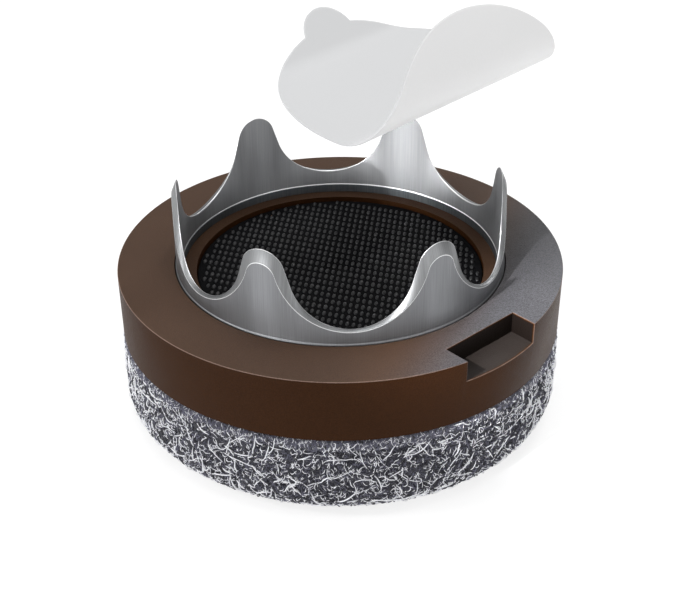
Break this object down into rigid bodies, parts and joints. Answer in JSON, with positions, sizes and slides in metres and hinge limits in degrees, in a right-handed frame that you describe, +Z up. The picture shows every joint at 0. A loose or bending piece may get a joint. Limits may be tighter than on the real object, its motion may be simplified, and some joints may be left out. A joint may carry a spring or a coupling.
{
  "type": "furniture slider",
  "caption": "Round press-in furniture slider: thick felt pad under a brown plastic housing, toothed steel crown, black grip pad inside it, and its release liner peeled off above.",
  "frame": {"origin": "on the floor, at the middle of the felt pad's underside", "axes": "+Z up out of the seat for the leg, +X to the right and -Y towards the viewer of the picture"},
  "size_m": [0.0254, 0.0254, 0.0238],
  "materials": {
    "grey_felt": "pressed mixed grey fibres",
    "clear_glue": "thin translucent film",
    "brown_plastic": "moulded, finely grained, satin",
    "satin_steel": "vertical satin brushing, bright ground edges",
    "black_grip": "embossed with a fine grid of dots",
    "release_film": "silicone-coated release film, smooth"
  },
  "bodies": {
    "slider": {"felt_pad": "grey_felt", "felt_glue": "clear_glue", "housing": "brown_plastic", "crown_ring": "satin_steel", "grip_pad": "black_grip", "grip_glue": "clear_glue"},
    "liner": {"release_liner": "release_film"}
  },
  "joints": [
    {"name": "liner_lift", "type": "slide", "parent": "slider", "child": "liner", "axis": [0, 0, 1], "range_m": [0, 0.012]}
  ]
}
